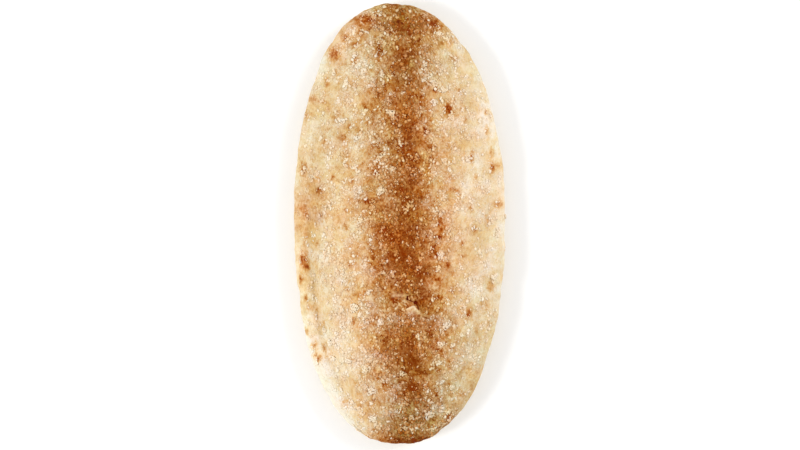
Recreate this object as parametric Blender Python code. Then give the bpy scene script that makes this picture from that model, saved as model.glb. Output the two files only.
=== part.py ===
"""A whole, uncut pita pocket: an oval flat bread, puffed along its middle, with a soft rolled rim.

Units are metres and +Z is up. The bread lies on its flat underside with its length along Y. The origin
is at the middle of its footprint, on the surface that it rests on.

The skin is worked out in plan. A point is given by its heading round the bread and by its share, 0 at
the middle and 1 on the outline. The crown, the rim and the side groove are heights over that plan.
"""

import math
import random

import bmesh
import bpy
from mathutils import Matrix, Vector, noise
from mathutils.bvhtree import BVHTree

# Driving dimensions of the bread.
LENGTH = 0.190
WIDTH = 0.091
THICKNESS = 0.030

# Outline, as seen from above.
OUTLINE_POWER = 2.2  # 2 is an ellipse, and more is blunter
TOP_END_LEAN = 0.0026  # how far the end at +Y leans towards -X
SCALLOP_SIZE = 0.011  # spacing of the small bumps round the rim
SCALLOP_DEPTH = 0.0006
NICK_WIDTH = 0.0034
NICK_DEPTH = 0.0008
RIM_NICKS = (math.radians(71.0), math.radians(214.5))  # their headings

# Rim, where the upper and the lower skin meet.
RIM_HEIGHT = 0.0080  # height of the widest line
RIM_RIPPLE = 0.0009  # how far that line rises and falls
RIM_ROLL_WIDTH = 0.0046
RIM_ROLL_HEIGHT = 0.0038

# Crown, the puffed middle.
CROWN_FULLNESS = 1.35  # more makes the flanks hollower
CROWN_REACH = 0.5  # how far the crest keeps its height towards the two ends
CREST_OFFSET = 0.0012  # how far the crest lies towards +X
CREST_SWAY = 0.0015  # how far it wanders to the sides
CREST_SWAY_LENGTH = 0.120
LUMP_SIZE = 0.020
LUMP_HEIGHT = 0.0011

# Groove inside the rim: deep along the side at -X, faint elsewhere.
GROOVE_INSET = 0.0078
GROOVE_WIDTH = 0.0024
GROOVE_DEPTH = 0.0019
GROOVE_FAINT_SHARE = 0.25
GROOVE_MIDDLE_Y = -0.014
GROOVE_HALF_LENGTH = 0.045

# Underside.
UNDERCUT_WIDTH = 0.015  # from the widest line in to the flat rest

# Small tear in the crust near the crest, with its lower lip raised.
TEAR_PATH = ((0.0030, -0.0318), (0.0052, -0.0326), (0.0072, -0.0340), (0.0083, -0.0368))
TEAR_DEPTH = 0.0016
TEAR_HALF_WIDTH = 0.00055
LIP_CENTRE = (0.0050, -0.0358)
LIP_RADIUS = 0.0034
LIP_HEIGHT = 0.0011

# Clumps of the coarse flour that dusts the crust.
CLUMP_COUNT = 100
CLUMP_LENGTHS = (0.0012, 0.0023)
CLUMP_FLATNESS = (0.40, 0.60)
CLUMP_SUNK_SHARE = 0.35
CLUMP_SPREAD = 0.42  # of the half width, on either side of the crest
CLUMP_GAP = 0.0045
CLUMP_TEAR_GAP = 0.0090
SEED = 11

# Mesh cells along X, Y and Z on the box that the skin is wrapped from.
CELLS = (22, 44, 15)
EQUATOR_SHARE = 0.64  # share of the wrap from pole to pole that makes the upper side

CRUST_COLOUR = (0.69, 0.43, 0.20, 1.0)
CRUST_ROUGHNESS = 0.85


def clear_scene():
    for obj in list(bpy.data.objects):
        bpy.data.objects.remove(obj)


def bump(distance, width):
    """A smooth hump: 1 at no distance, fading out over about two widths."""
    return math.exp(-((distance / width) ** 2))


def wave(x, y, size, layer):
    """Smooth noise between about -1 and 1, with features of this size."""
    return noise.noise(Vector((x / size, y / size, layer)))


# --- Outline -----------------------------------------------------------------------------------------


def plain_radius(heading):
    """From the middle to the outline, before its small irregularities."""
    across = abs(math.cos(heading)) / (WIDTH / 2)
    along = abs(math.sin(heading)) / (LENGTH / 2)
    return (across**OUTLINE_POWER + along**OUTLINE_POWER) ** (-1 / OUTLINE_POWER)


def outline_radius(heading):
    radius = plain_radius(heading)
    x, y = radius * math.cos(heading), radius * math.sin(heading)
    radius += SCALLOP_DEPTH * wave(x, y, SCALLOP_SIZE, 3.7)
    for nick in RIM_NICKS:
        turn = math.remainder(heading - nick, math.tau)
        radius -= NICK_DEPTH * bump(radius * turn, NICK_WIDTH)
    return radius


def edge_reach(heading):
    """How far the outline's tangent lies from the middle, so that a share turns into a true inset."""
    step = 0.01
    radius = plain_radius(heading)
    slope = (plain_radius(heading + step) - plain_radius(heading - step)) / (2 * step)
    return radius**2 / math.hypot(radius, slope)


def lean(y):
    """The bread's midline bends aside towards the end at +Y."""
    return -TOP_END_LEAN * max(2 * y / LENGTH, 0.0) ** 4


def plan_point(heading, share):
    radius = share * outline_radius(heading)
    y = radius * math.sin(heading)
    return radius * math.cos(heading) + lean(y), y


def heading_and_share(x, y):
    upright = x - lean(y)
    heading = math.atan2(y, upright)
    return heading, math.hypot(upright, y) / outline_radius(heading)


# --- Heights -----------------------------------------------------------------------------------------


def rim_height(x, y):
    return RIM_HEIGHT + RIM_RIPPLE * wave(x, y, 3 * SCALLOP_SIZE, 8.1)


def rim_roll(inset):
    """The rounded upper edge of the rim, which is level further in."""
    inward = min(inset / RIM_ROLL_WIDTH, 1.0)
    return RIM_ROLL_HEIGHT * math.sqrt(1 - (1 - inward) ** 2)


def crown(y, share):
    """The puffed middle, from 0 on the outline to 1 on the crest."""
    along = min(abs(2 * y / LENGTH), 1.0)
    reach = 1 + CROWN_REACH * along**OUTLINE_POWER
    fall = max(1 - min(share, 1.0) ** OUTLINE_POWER, 0.0)
    return reach * fall**CROWN_FULLNESS


def groove(x, y, inset):
    """Depth of the furrow that runs just inside the rim."""
    side = 1.0 if x < 0 else GROOVE_FAINT_SHARE
    along = bump(y - GROOVE_MIDDLE_Y, GROOVE_HALF_LENGTH)
    strength = GROOVE_FAINT_SHARE + (side - GROOVE_FAINT_SHARE) * along
    patchy = 1 + 0.5 * wave(x, y, 2 * SCALLOP_SIZE, 5.2)
    return GROOVE_DEPTH * strength * patchy * bump(inset - GROOVE_INSET, GROOVE_WIDTH)


def top_height(x, y):
    """Height of the upper skin over a point of the plan."""
    heading, share = heading_and_share(x, y)
    inset = max(1 - share, 0.0) * edge_reach(heading)
    sway = CREST_OFFSET + CREST_SWAY * math.sin(math.tau * y / CREST_SWAY_LENGTH)
    crest_share = heading_and_share(x - sway * (1 - min(share, 1.0)), y)[1]
    crown_height = THICKNESS - RIM_HEIGHT - RIM_ROLL_HEIGHT
    inland = 1 - bump(inset, 2 * RIM_ROLL_WIDTH)
    height = rim_height(x, y) + rim_roll(inset)
    height += crown_height * crown(y, crest_share)
    height += LUMP_HEIGHT * inland * wave(x, y, LUMP_SIZE, 1.3)
    height -= groove(x, y, inset)
    height += LIP_HEIGHT * bump(math.dist((x, y), LIP_CENTRE), LIP_RADIUS)
    return height


def top_point(heading, wrap):
    """A point of the upper skin; wrap runs from 0 at the middle to 1 at the widest line."""
    x, y = plan_point(heading, math.sin(wrap * math.pi / 2))
    return Vector((x, y, top_height(x, y)))


def under_point(heading, wrap):
    """A point of the lower skin; wrap runs from 0 at the widest line to 1 at the middle."""
    curved = 0.5  # share of the wrap that turns under, before the flat rest
    flat_share = 1 - UNDERCUT_WIDTH / edge_reach(heading)
    if wrap < curved:
        turn = wrap / curved * math.pi / 2
        share = flat_share + (1 - flat_share) * math.cos(turn)
        x, y = plan_point(heading, share)
        return Vector((x, y, rim_height(*plan_point(heading, 1.0)) * (1 - math.sin(turn))))
    x, y = plan_point(heading, flat_share * (1 - wrap) / (1 - curved))
    return Vector((x, y, 0.0))


def skin_point(direction):
    """Carries a direction from the bread's middle to a point of its skin."""
    wrap = math.acos(max(-1.0, min(1.0, direction.z))) / math.pi
    heading = math.atan2(LENGTH * direction.y, WIDTH * direction.x)
    if wrap < EQUATOR_SHARE:
        return top_point(heading, wrap / EQUATOR_SHARE)
    return under_point(heading, (wrap - EQUATOR_SHARE) / (1 - EQUATOR_SHARE))


# --- Solids ------------------------------------------------------------------------------------------


def box_cage():
    """A closed box of quads, cut finer along its length, as the skin's starting mesh."""
    bm = bmesh.new()
    bmesh.ops.create_cube(bm, size=2.0)
    for axis, cells in enumerate(CELLS):
        along = [e for e in bm.edges if abs((e.verts[0].co - e.verts[1].co)[axis]) > 1.0]
        bmesh.ops.subdivide_edges(bm, edges=along, cuts=cells - 1, use_grid_fill=True)
    return bm


def crust_material():
    material = bpy.data.materials.new("baked_crust")
    material.use_nodes = True
    shader = material.node_tree.nodes["Principled BSDF"]
    shader.inputs["Base Color"].default_value = CRUST_COLOUR
    shader.inputs["Roughness"].default_value = CRUST_ROUGHNESS
    shader.inputs["Metallic"].default_value = 0.0
    return material


def new_collection(name):
    collection = bpy.data.collections.new(name)
    bpy.context.scene.collection.children.link(collection)
    return collection


def mesh_object(name, bm, collection):
    mesh = bpy.data.meshes.new(name)
    bm.to_mesh(mesh)
    bm.free()
    obj = bpy.data.objects.new(name, mesh)
    collection.objects.link(obj)
    return obj


def bread_body(collection):
    bm = box_cage()
    for vert in bm.verts:
        vert.co = skin_point(vert.co.normalized())
    resting = [f for f in bm.faces if all(v.co.z == 0.0 for v in f.verts)]
    bmesh.ops.dissolve_faces(bm, faces=resting)
    bmesh.ops.recalc_face_normals(bm, faces=bm.faces)
    return mesh_object("pita_bread", bm, collection)


def tear_cutter(collection):
    """A slim blade along the tear, deeper than it is wide and pointed at both ends."""
    curve = bpy.data.curves.new("tear_path", "CURVE")
    curve.dimensions = "3D"
    curve.bevel_depth = TEAR_HALF_WIDTH
    curve.bevel_resolution = 1
    curve.use_fill_caps = True
    spline = curve.splines.new("POLY")
    spline.points.add(len(TEAR_PATH) - 1)
    for index, (point, (x, y)) in enumerate(zip(spline.points, TEAR_PATH)):
        point.co = (x, y, 0.0, 1.0)
        point.radius = 0.4 if index in (0, len(TEAR_PATH) - 1) else 1.0
    guide = bpy.data.objects.new("tear_guide", curve)
    collection.objects.link(guide)
    bpy.context.view_layer.update()
    mesh = bpy.data.meshes.new_from_object(guide.evaluated_get(bpy.context.evaluated_depsgraph_get()))
    bpy.data.objects.remove(guide)

    bm = bmesh.new()
    bm.from_mesh(mesh)
    bmesh.ops.remove_doubles(bm, verts=bm.verts, dist=0.00001)
    for vert in bm.verts:
        vert.co.z *= TEAR_DEPTH / TEAR_HALF_WIDTH
        vert.co.z += top_height(*TEAR_PATH[1])
    bmesh.ops.recalc_face_normals(bm, faces=bm.faces)
    return mesh_object("tear_cutter", bm, collection)


def clump_places(rng):
    """Spots in plan for the clumps of flour, thickest along the crest and well apart."""
    places = []
    while len(places) < CLUMP_COUNT:
        x = rng.gauss(0.0, CLUMP_SPREAD * WIDTH / 2)
        y = rng.uniform(-LENGTH / 2, LENGTH / 2)
        heading, share = heading_and_share(x, y)
        clear_of_rim = (1 - share) * edge_reach(heading) > 2 * RIM_ROLL_WIDTH
        clear_of_tear = all(math.dist((x, y), p) > CLUMP_TEAR_GAP for p in TEAR_PATH)
        if clear_of_rim and clear_of_tear and all(math.dist((x, y), p) > CLUMP_GAP for p in places):
            places.append((x, y))
    return places


def flour_clumps(body, collection):
    """Flattened, uneven lumps that stand out of the crust."""
    rng = random.Random(SEED)
    bm = bmesh.new()
    bm.from_mesh(body.data)
    skin = BVHTree.FromBMesh(bm)
    bm.free()
    for index, (x, y) in enumerate(clump_places(rng)):
        spot, normal = skin.ray_cast(Vector((x, y, 2 * THICKNESS)), Vector((0, 0, -1)))[:2]
        length = rng.uniform(*CLUMP_LENGTHS)
        width = length * rng.uniform(0.6, 0.95)
        height = width * rng.uniform(*CLUMP_FLATNESS)
        bm = bmesh.new()
        bmesh.ops.create_icosphere(bm, subdivisions=1, radius=0.5)
        for vert in bm.verts:
            vert.co *= rng.uniform(0.88, 1.12)
        size = Matrix.Diagonal((length, width, height, 1.0))
        spin = Matrix.Rotation(rng.uniform(0, math.tau), 4, "Z")
        stand = normal.to_track_quat("Z", "Y").to_matrix().to_4x4()
        centre = spot + normal * height * (0.5 - CLUMP_SUNK_SHARE)
        bm.transform(Matrix.Translation(centre) @ stand @ spin @ size)
        mesh_object(f"flour_clump_{index:03d}", bm, collection)


def apply_boolean(obj, operation, collection):
    """Cuts or joins everything in the collection, then removes it."""
    modifier = obj.modifiers.new(operation.lower(), "BOOLEAN")
    modifier.operation = operation
    modifier.operand_type = "COLLECTION"
    modifier.collection = collection
    modifier.solver = "EXACT"
    bpy.context.view_layer.update()
    graph = bpy.context.evaluated_depsgraph_get()
    result = bpy.data.meshes.new_from_object(obj.evaluated_get(graph))
    obj.modifiers.clear()
    obj.data = result
    for tool in list(collection.objects):
        bpy.data.objects.remove(tool)
    bpy.data.collections.remove(collection)


def centre_footprint(obj):
    """Puts the origin at the middle of the bread's box in plan."""
    for axis in (0, 1):
        places = [v.co[axis] for v in obj.data.vertices]
        middle = (min(places) + max(places)) / 2
        for vert in obj.data.vertices:
            vert.co[axis] -= middle


def finish_surface(obj):
    obj.data.materials.clear()
    obj.data.materials.append(crust_material())
    obj.data.shade_smooth()
    obj.data.set_sharp_from_angle(angle=math.radians(35))


def main():
    clear_scene()
    bread = bread_body(new_collection("pita_pocket"))
    cutters = new_collection("cutters")
    tear_cutter(cutters)
    apply_boolean(bread, "DIFFERENCE", cutters)
    clumps = new_collection("flour")
    flour_clumps(bread, clumps)
    apply_boolean(bread, "UNION", clumps)
    centre_footprint(bread)
    finish_surface(bread)


main()
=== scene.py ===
"""The looks of a whole, uncut pita pocket: its baked crust, char spots, small tear and dusting of flour.

Units are metres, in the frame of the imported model. Colours are written as sRGB, 0 to 255.
"""

import math
import random

import bmesh
import bpy
import numpy as np
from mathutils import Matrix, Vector, noise
from mathutils.bvhtree import BVHTree


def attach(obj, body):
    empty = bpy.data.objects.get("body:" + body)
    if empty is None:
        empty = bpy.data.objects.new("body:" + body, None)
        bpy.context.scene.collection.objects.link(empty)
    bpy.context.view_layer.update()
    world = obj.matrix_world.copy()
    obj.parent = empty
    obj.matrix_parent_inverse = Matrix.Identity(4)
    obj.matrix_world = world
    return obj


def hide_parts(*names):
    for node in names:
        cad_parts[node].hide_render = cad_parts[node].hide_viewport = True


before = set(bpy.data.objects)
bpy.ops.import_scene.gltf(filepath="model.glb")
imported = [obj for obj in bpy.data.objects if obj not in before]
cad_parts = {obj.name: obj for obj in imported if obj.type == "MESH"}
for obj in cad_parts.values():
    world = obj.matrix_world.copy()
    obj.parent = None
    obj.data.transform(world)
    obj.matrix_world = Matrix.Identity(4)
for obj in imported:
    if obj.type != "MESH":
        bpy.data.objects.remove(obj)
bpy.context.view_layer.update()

NODE = "pita_bread"
BODY = "root"

# --- The bread's form, the same as that of its solid ---

LENGTH = 0.190
WIDTH = 0.091
THICKNESS = 0.030

OUTLINE_POWER = 2.2
TOP_END_LEAN = 0.0026
SCALLOP_SIZE = 0.011
SCALLOP_DEPTH = 0.0006
NICK_WIDTH = 0.0034
NICK_DEPTH = 0.0008
RIM_NICKS = (math.radians(71.0), math.radians(214.5))

RIM_HEIGHT = 0.0080
RIM_RIPPLE = 0.0009
RIM_ROLL_WIDTH = 0.0046
RIM_ROLL_HEIGHT = 0.0038

CROWN_FULLNESS = 1.35
CROWN_REACH = 0.5
CREST_OFFSET = 0.0012
CREST_SWAY = 0.0015
CREST_SWAY_LENGTH = 0.120
LUMP_SIZE = 0.020
LUMP_HEIGHT = 0.0011

GROOVE_INSET = 0.0078
GROOVE_WIDTH = 0.0024
GROOVE_DEPTH = 0.0019
GROOVE_FAINT_SHARE = 0.25
GROOVE_MIDDLE_Y = -0.014
GROOVE_HALF_LENGTH = 0.045

UNDERCUT_WIDTH = 0.015

TEAR_PATH = ((0.0030, -0.0318), (0.0052, -0.0326), (0.0072, -0.0340), (0.0083, -0.0368))
LIP_CENTRE = (0.0050, -0.0358)
LIP_RADIUS = 0.0034
LIP_HEIGHT = 0.0011

CLUMP_COUNT = 100
CLUMP_LENGTHS = (0.0012, 0.0023)
CLUMP_FLATNESS = (0.40, 0.60)
CLUMP_SUNK_SHARE = 0.35
CLUMP_SPREAD = 0.42
CLUMP_GAP = 0.0045
CLUMP_TEAR_GAP = 0.0090
SEED = 11

EQUATOR_SHARE = 0.72

# --- Fine surface ---

CELLS = ((104, 208, 60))

WRINKLES = ((0.0052, 0.00022), (0.0024, 0.00010))  # size and height
GRIT_SIZES = (0.0021, 0.0014)
GRIT_HEIGHT = 0.00026
SMOOTHEST_GRIT = 0.30
RIDGE_NOISE = 0.30  # the noise at which a ridge has fallen to its foot
PLEAT_SIZES = (0.0040, 0.0040, 0.0120)
PLEAT_HEIGHT = 0.00030
PLEAT_REACH = 0.008
PORE_SIZE = 0.0021
PORE_DEPTH = 0.00018
PORE_NOISE = (0.42, 0.62)  # the noise over which a pore opens
BLISTER_HEIGHT = 0.00035
TEAR_DEPTH = 0.0008
LIP_RISE = 0.0006
RIDGE_RISE = 0.0004
TORN_ROUGHNESS = 0.00045


def bump(distance, width):
    return np.exp(-((distance / width) ** 2))


def smooth_step(low, high, value):
    t = np.clip((value - low) / (high - low), 0.0, 1.0)
    return t * t * (3 - 2 * t)


noise_at = np.vectorize(lambda x, y, z: noise.noise((x, y, z)), otypes=[float])


def at_least(least, share):
    """Squeezes a share of 0 to 1 into the range from the least to 1."""
    return least + (1 - least) * share


def wave(x, y, size, layer):
    return noise_at(x / size, y / size, layer)


def wave_in(points, size, layer):
    x, y, z = (points / size).T
    return noise_at(x, y, z + layer)


def with_waves(value, x, y, waves):
    """Adds waves of noise, each given as a strength, a size and a layer."""
    for strength, size, layer in waves:
        value = value + strength * wave(x, y, size, layer)
    return value


def ridged(points, size, layer):
    """A tangle of thin ridges, 0 to 1."""
    return 1 - np.minimum(np.abs(wave_in(points, size, layer)) / RIDGE_NOISE, 1.0)


# --- Outline and heights ---


def plain_radius(heading):
    across = np.abs(np.cos(heading)) / (WIDTH / 2)
    along = np.abs(np.sin(heading)) / (LENGTH / 2)
    return (across**OUTLINE_POWER + along**OUTLINE_POWER) ** (-1 / OUTLINE_POWER)


def outline_radius(heading):
    radius = plain_radius(heading)
    x, y = radius * np.cos(heading), radius * np.sin(heading)
    radius = radius + SCALLOP_DEPTH * wave(x, y, SCALLOP_SIZE, 3.7)
    for nick in RIM_NICKS:
        turn = (heading - nick + math.pi) % math.tau - math.pi
        radius = radius - NICK_DEPTH * bump(radius * turn, NICK_WIDTH)
    return radius


def edge_reach(heading):
    step = 0.01
    radius = plain_radius(heading)
    slope = (plain_radius(heading + step) - plain_radius(heading - step)) / (2 * step)
    return radius**2 / np.hypot(radius, slope)


def lean(y):
    return -TOP_END_LEAN * np.maximum(2 * y / LENGTH, 0.0) ** 4


def plan_point(heading, share):
    radius = share * outline_radius(heading)
    y = radius * np.sin(heading)
    return radius * np.cos(heading) + lean(y), y


def heading_of(x, y):
    return np.arctan2(y, x - lean(y))


def share_of(x, y):
    """How far out to the outline a point of the plan lies, 0 to 1."""
    return np.hypot(x - lean(y), y) / outline_radius(heading_of(x, y))


def inset_of(x, y):
    """How far inside the outline a point of the plan lies."""
    return np.maximum(1 - share_of(x, y), 0.0) * edge_reach(heading_of(x, y))


def rim_height(x, y):
    return RIM_HEIGHT + RIM_RIPPLE * wave(x, y, 3 * SCALLOP_SIZE, 8.1)


def rim_roll(inset):
    inward = np.minimum(inset / RIM_ROLL_WIDTH, 1.0)
    return RIM_ROLL_HEIGHT * np.sqrt(1 - (1 - inward) ** 2)


def crown(y, share):
    along = np.minimum(np.abs(2 * y / LENGTH), 1.0)
    reach = 1 + CROWN_REACH * along**OUTLINE_POWER
    fall = np.maximum(1 - np.minimum(share, 1.0) ** OUTLINE_POWER, 0.0)
    return reach * fall**CROWN_FULLNESS


def groove(x, y, inset):
    side = np.where(x < 0, 1.0, GROOVE_FAINT_SHARE)
    along = bump(y - GROOVE_MIDDLE_Y, GROOVE_HALF_LENGTH)
    strength = GROOVE_FAINT_SHARE + (side - GROOVE_FAINT_SHARE) * along
    patchy = 1 + 0.5 * wave(x, y, 2 * SCALLOP_SIZE, 5.2)
    return GROOVE_DEPTH * strength * patchy * bump(inset - GROOVE_INSET, GROOVE_WIDTH)


def furrow_over(x, y):
    return groove(x, y, inset_of(x, y)) / GROOVE_DEPTH


def top_height(x, y):
    share, inset = share_of(x, y), inset_of(x, y)
    sway = CREST_OFFSET + CREST_SWAY * np.sin(math.tau * y / CREST_SWAY_LENGTH)
    crest_share = share_of(x - sway * (1 - np.minimum(share, 1.0)), y)
    crown_height = THICKNESS - RIM_HEIGHT - RIM_ROLL_HEIGHT
    inland = 1 - bump(inset, 2 * RIM_ROLL_WIDTH)
    height = rim_height(x, y) + rim_roll(inset)
    height = height + crown_height * crown(y, crest_share)
    height = height + LUMP_HEIGHT * inland * wave(x, y, LUMP_SIZE, 1.3)
    height = height - groove(x, y, inset)
    return height + LIP_HEIGHT * bump(np.hypot(x - LIP_CENTRE[0], y - LIP_CENTRE[1]), LIP_RADIUS)


def skin_points(directions):
    """Carries directions from the bread's middle to points of its skin, as the solid's mesh is made."""
    wrap = np.arccos(np.clip(directions[:, 2], -1, 1)) / math.pi
    heading = np.arctan2(LENGTH * directions[:, 1], WIDTH * directions[:, 0])
    upper = wrap < EQUATOR_SHARE
    points = np.zeros_like(directions)

    x, y = plan_point(heading[upper], np.sin(wrap[upper] / EQUATOR_SHARE * math.pi / 2))
    points[upper] = np.stack([x, y, top_height(x, y)], axis=1)

    lower = ~upper
    under = (wrap[lower] - EQUATOR_SHARE) / (1 - EQUATOR_SHARE)
    curved = 0.5
    flat_share = 1 - UNDERCUT_WIDTH / edge_reach(heading[lower])
    turn = np.minimum(under / curved, 1.0) * math.pi / 2
    share = flat_share + (1 - flat_share) * np.cos(turn)
    share = np.where(under < curved, share, flat_share * (1 - under) / (1 - curved))
    x, y = plan_point(heading[lower], share)
    rim = rim_height(*plan_point(heading[lower], 1.0))
    points[lower] = np.stack([x, y, rim * (1 - np.sin(turn))], axis=1)
    return points


# --- Browning, char and dust over the plan ---

MM = 0.001

# Patches of the plan, each as x, y, half width and half height in mm, and a strength.
CHAR_SPOTS = (
    (-0.2, 86.8, 1.5, 1.4, 1.5), (-2.6, 85.2, 0.8, 0.6, 0.3), (1.8, 85.4, 1, 0.6, 0.65),
    (3.6, 84, 1.4, 1, 1.15), (-7, 86.3, 1.3, 0.8, 0.4), (-10.2, 89.5, 0.7, 1.8, 0.7),
    (-14, 88.8, 3.6, 1.2, 0.75), (-13.3, 84.8, 0.9, 1.3, 0.65), (-17, 83.3, 0.8, 1.3, 0.4),
    (11.5, 86.3, 1, 0.8, 0.45), (14.5, 86.6, 1.6, 1.6, 0.9), (-23.3, 79.5, 0.9, 1.2, 0.6),
    (-19.4, 77.5, 1.3, 1, 0.7), (-27.8, 73.5, 1.5, 1.9, 0.9), (-8.9, 77.6, 0.9, 1, 0.7),
    (-8.4, 74.5, 0.9, 2.2, 0.5), (6.8, 78.8, 1.4, 0.9, 0.5), (9.3, 80, 1, 0.6, 0.5),
    (17.8, 78.6, 1.2, 0.6, 0.5), (6.2, 74.3, 1.3, 0.6, 0.65), (0.2, 70.2, 0.9, 1, 0.7),
    (23.8, 71.3, 1, 1.2, 0.7), (-31.5, 61, 0.9, 1.8, 0.42), (4.8, 62.5, 1.4, 0.8, 0.5),
    (15.2, 57.8, 0.9, 0.8, 0.8), (25.4, 57.9, 0.7, 0.9, 0.5), (8.9, 55.2, 1.3, 0.7, 0.6),
    (-9.2, 55.3, 1, 0.9, 0.5), (-37.5, 53.6, 1.3, 1, 0.42), (-34, 53, 1.3, 0.8, 0.36),
    (21.5, 50, 1.3, 2, 1.15), (-15, 50.5, 0.7, 1.2, 0.55), (37.2, 48.4, 0.7, 0.9, 0.5),
    (-40.3, 46.2, 0.9, 1.2, 0.36), (1, 46.2, 1.3, 0.7, 0.6), (4.2, 42.6, 1.6, 1.2, 0.6),
    (11.8, 40, 0.9, 0.8, 1), (37.8, 40.2, 0.7, 1.3, 0.55), (-24.5, 37.6, 1, 1, 0.7),
    (-4.6, 35, 1.3, 0.9, 0.5), (13.6, 33, 1, 1.6, 0.85), (-30.5, 33.5, 0.8, 1.2, 0.36),
    (39.9, 31, 0.7, 1.6, 0.5), (31.2, 29.2, 0.7, 1.9, 0.62), (40.2, 24.3, 0.9, 1.9, 0.78),
    (42, 25.5, 1.2, 0.6, 0.45), (-41.6, 24, 1, 2.4, 0.62), (-28.7, 20, 0.8, 1.2, 0.52),
    (-20.6, 18.2, 0.7, 1.2, 0.75), (-0.5, 17, 1, 2, 0.45), (-34.8, 14.9, 0.9, 1, 0.75),
    (1.5, 14.6, 1.3, 1.2, 0.8), (23.3, 15, 0.8, 0.7, 0.55), (25.6, 14, 0.8, 0.9, 0.5),
    (-14.6, 9.8, 3, 0.9, 0.75), (42.3, 8.4, 1.4, 1.4, 0.52), (-23.3, 5.8, 0.8, 0.9, 0.55),
    (-40.9, 5, 0.9, 1.8, 0.64), (-23.3, -1, 0.8, 1.1, 0.45), (17.7, 1.2, 0.9, 1.3, 0.9),
    (18, -2.4, 0.7, 2, 0.6), (17.4, -5.5, 0.9, 0.9, 1.15), (-6.8, -2.5, 1.5, 1.3, 0.85),
    (-3.8, -5.6, 1, 2.8, 0.55), (32.8, -2.5, 0.8, 1.3, 0.46), (26.9, -8.3, 0.7, 1.2, 0.6),
    (14.7, -10.2, 0.8, 1.2, 0.8), (-11.6, -13, 0.9, 1.7, 0.7), (-28.7, -13.5, 0.9, 0.7, 0.58),
    (27.4, -13.7, 1.1, 0.6, 0.52), (-41.4, -15.6, 1.1, 2, 0.85), (-40.2, -18.4, 1, 1.4, 0.9),
    (20.8, -17.8, 0.8, 1, 0.6), (7.4, -21.5, 1.3, 1.2, 0.75), (-42.7, -23.8, 0.7, 1.6, 0.58),
    (16.4, -24, 1.1, 0.8, 0.6), (38.8, -27.8, 0.7, 0.8, 0.4), (-22.7, -28.2, 0.8, 0.7, 0.5),
    (23, -29, 0.8, 1.1, 0.65), (-18.5, -30.8, 2, 1, 0.36), (-2.8, -33, 1.6, 1.3, 0.65),
    (16.5, -32, 1.5, 1.1, 0.52), (-40.3, -32, 0.6, 1.4, 0.5), (-38.5, -36.2, 1.2, 0.9, 0.42),
    (-35.6, -36.8, 0.7, 0.8, 0.55), (30, -38.5, 0.8, 1.8, 0.85), (-10.7, -40.8, 1.2, 0.8, 0.5),
    (-19.9, -41.9, 0.8, 1.1, 0.62), (-33.2, -43.5, 0.9, 1.6, 0.38), (38.6, -43, 0.8, 0.9, 0.36),
    (-39.8, -46.3, 0.7, 1.4, 0.5), (12.7, -46.8, 1, 1.5, 0.75), (4.4, -49, 1.6, 2.4, 0.5),
    (20.8, -47.2, 0.6, 0.9, 0.5), (-36.3, -52.8, 1, 1.5, 0.54), (-32.2, -53.5, 0.8, 1.7, 0.52),
    (17.5, -55.2, 1.1, 1, 0.5), (-36.2, -56.4, 0.8, 0.9, 0.52), (-34.4, -57.8, 0.9, 1.3, 0.72),
    (5.2, -60, 1.3, 1.5, 0.75), (21.5, -60.8, 0.8, 1.4, 0.7), (11, -64, 1, 1.1, 0.58),
    (-8.4, -65.8, 1.3, 0.9, 0.7), (33.3, -63.8, 0.8, 0.6, 0.34), (6, -70.8, 1.8, 1.3, 0.7),
    (26.5, -72.8, 1, 0.9, 0.5), (-23.3, -77, 1.3, 2.2, 0.34), (-17, -77.5, 1.3, 1.3, 0.34),
    (11.7, -78.2, 1.4, 1, 0.48), (21.2, -83, 1.1, 1.8, 0.82), (14.7, -84.2, 1.3, 0.8, 0.48),
    (-12.5, -92.3, 1.2, 1.2, 0.5), (-2.3, -92.8, 1.6, 1.2, 0.72), (6.3, -93.3, 1.7, 1, 0.95),
    (-7.6, -92.6, 1.4, 0.7, 0.55), (2, -94, 1.2, 0.6, 0.6),
)
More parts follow.
